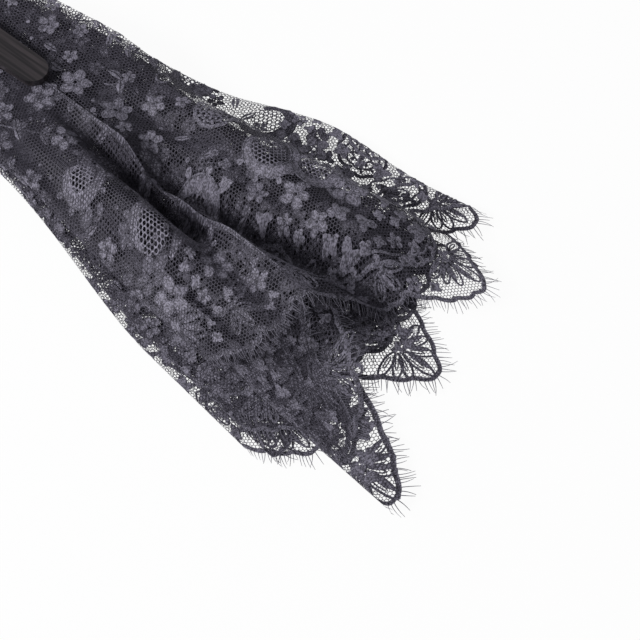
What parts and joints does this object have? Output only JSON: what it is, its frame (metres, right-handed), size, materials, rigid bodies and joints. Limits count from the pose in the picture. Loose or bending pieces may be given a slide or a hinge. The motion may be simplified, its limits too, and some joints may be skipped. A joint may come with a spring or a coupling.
{
  "type": "folding hand fan",
  "caption": "Large folding hand fan with dark wooden sticks on a hollow eyelet and a deep pleated lace leaf with a scalloped eyelash rim.",
  "frame": {"origin": "on the pivot axis, at the outer face of the bottom guard that the closed fan lies on", "axes": "+Z along the pivot axis from the bottom guard to the top guard, +Y from the pivot along the closed fan to the lace rim"},
  "size_m": [0.0892, 0.43, 0.0211],
  "materials": {
    "wood": "black-stained, satin lacquered",
    "metal": "gunmetal plated",
    "lace": "dark Chantilly lace, open net with woven motifs"
  },
  "bodies": {
    "base": {"guard_bottom": "wood", "eyelet": "metal", "washer_bottom": "metal", "washer_top": "metal", "lace_00": "lace"},
    "rib_01": {"stick_01": "wood", "lace_01": "lace"},
    "rib_02": {"stick_02": "wood", "lace_02": "lace"},
    "rib_03": {"stick_03": "wood", "lace_03": "lace"},
    "rib_04": {"stick_04": "wood", "lace_04": "lace"},
    "rib_05": {"stick_05": "wood", "lace_05": "lace"},
    "rib_06": {"stick_06": "wood", "lace_06": "lace"},
    "rib_07": {"stick_07": "wood", "lace_07": "lace"},
    "rib_08": {"stick_08": "wood", "lace_08": "lace"},
    "rib_09": {"stick_09": "wood", "lace_09": "lace"},
    "rib_10": {"stick_10": "wood", "lace_10": "lace"},
    "rib_11": {"stick_11": "wood", "lace_11": "lace"},
    "top": {"guard_top": "wood", "lace_12": "lace"}
  },
  "joints": [
    {"name": "fan_open", "type": "hinge", "parent": "base", "child": "rib_01", "pos_m": [0, 0, 0], "axis": [0, 0, 1], "range_deg": [0, 13]},
    {"name": "open_02", "type": "hinge", "parent": "rib_01", "child": "rib_02", "pos_m": [0, 0, 0], "axis": [0, 0, 1], "range_deg": [0, 13]},
    {"name": "open_03", "type": "hinge", "parent": "rib_02", "child": "rib_03", "pos_m": [0, 0, 0], "axis": [0, 0, 1], "range_deg": [0, 13]},
    {"name": "open_04", "type": "hinge", "parent": "rib_03", "child": "rib_04", "pos_m": [0, 0, 0], "axis": [0, 0, 1], "range_deg": [0, 13]},
    {"name": "open_05", "type": "hinge", "parent": "rib_04", "child": "rib_05", "pos_m": [0, 0, 0], "axis": [0, 0, 1], "range_deg": [0, 13]},
    {"name": "open_06", "type": "hinge", "parent": "rib_05", "child": "rib_06", "pos_m": [0, 0, 0], "axis": [0, 0, 1], "range_deg": [0, 13]},
    {"name": "open_07", "type": "hinge", "parent": "rib_06", "child": "rib_07", "pos_m": [0, 0, 0], "axis": [0, 0, 1], "range_deg": [0, 13]},
    {"name": "open_08", "type": "hinge", "parent": "rib_07", "child": "rib_08", "pos_m": [0, 0, 0], "axis": [0, 0, 1], "range_deg": [0, 13]},
    {"name": "open_09", "type": "hinge", "parent": "rib_08", "child": "rib_09", "pos_m": [0, 0, 0], "axis": [0, 0, 1], "range_deg": [0, 13]},
    {"name": "open_10", "type": "hinge", "parent": "rib_09", "child": "rib_10", "pos_m": [0, 0, 0], "axis": [0, 0, 1], "range_deg": [0, 13]},
    {"name": "open_11", "type": "hinge", "parent": "rib_10", "child": "rib_11", "pos_m": [0, 0, 0], "axis": [0, 0, 1], "range_deg": [0, 13]},
    {"name": "open_12", "type": "hinge", "parent": "rib_11", "child": "top", "pos_m": [0, 0, 0], "axis": [0, 0, 1], "range_deg": [0, 13]}
  ],
  "couplings": [
    {"joint": "open_02", "follows": "fan_open", "ratio": 1},
    {"joint": "open_03", "follows": "fan_open", "ratio": 1},
    {"joint": "open_04", "follows": "fan_open", "ratio": 1},
    {"joint": "open_05", "follows": "fan_open", "ratio": 1},
    {"joint": "open_06", "follows": "fan_open", "ratio": 1},
    {"joint": "open_07", "follows": "fan_open", "ratio": 1},
    {"joint": "open_08", "follows": "fan_open", "ratio": 1},
    {"joint": "open_09", "follows": "fan_open", "ratio": 1},
    {"joint": "open_10", "follows": "fan_open", "ratio": 1},
    {"joint": "open_11", "follows": "fan_open", "ratio": 1},
    {"joint": "open_12", "follows": "fan_open", "ratio": 1}
  ]
}
